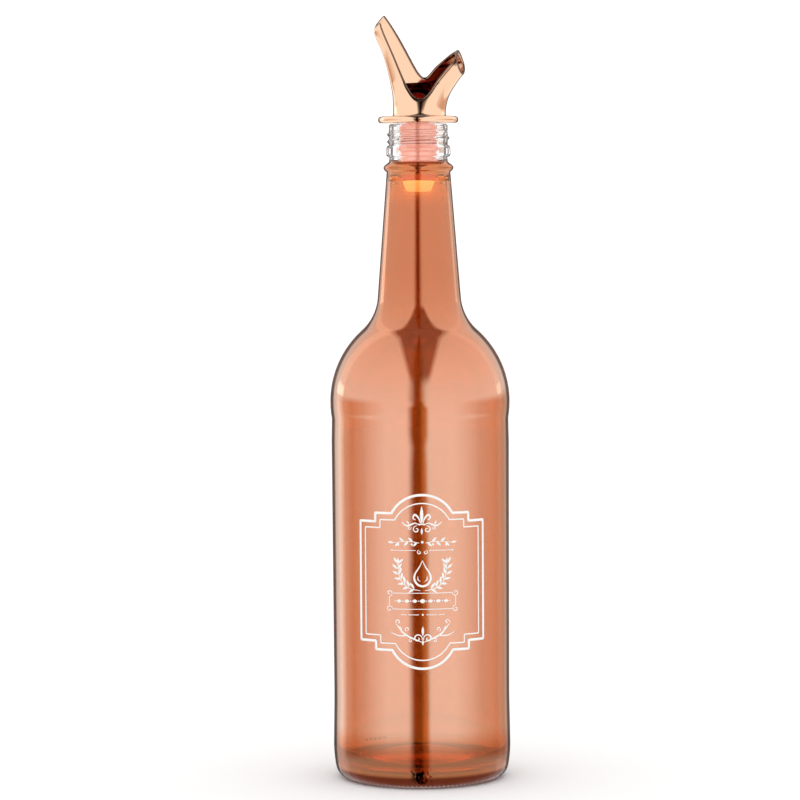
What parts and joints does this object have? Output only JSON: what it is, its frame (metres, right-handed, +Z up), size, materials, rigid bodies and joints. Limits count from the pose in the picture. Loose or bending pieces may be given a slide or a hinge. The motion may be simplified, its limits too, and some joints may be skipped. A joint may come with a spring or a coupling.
{
  "type": "oil bottle",
  "caption": "Tall empty glass oil bottle with a coppery coat, a threaded neck, and a plated pourer head with one long and one short horn on a ribbed plug.",
  "frame": {"origin": "middle of the base, on the surface that the bottle stands on", "axes": "+Z up along the bottle's axis; -Y towards the front; the long horn of the pourer leans towards -X and the short horn towards +X"},
  "size_m": [0.0786, 0.0786, 0.3347],
  "materials": {
    "copper_glass": "clear glass under a translucent coppery metallic coat, bare above the neck ring",
    "rose_gold": "mirror-bright rose gold plating",
    "rose_plastic": "soft rose plastic, slightly glossy",
    "white_print": "thin matt white ink, printed on the front"
  },
  "bodies": {
    "root": {"bottle": "copper_glass", "pourer_head": "rose_gold", "stopper_plug": "rose_plastic"}
  },
  "joints": []
}
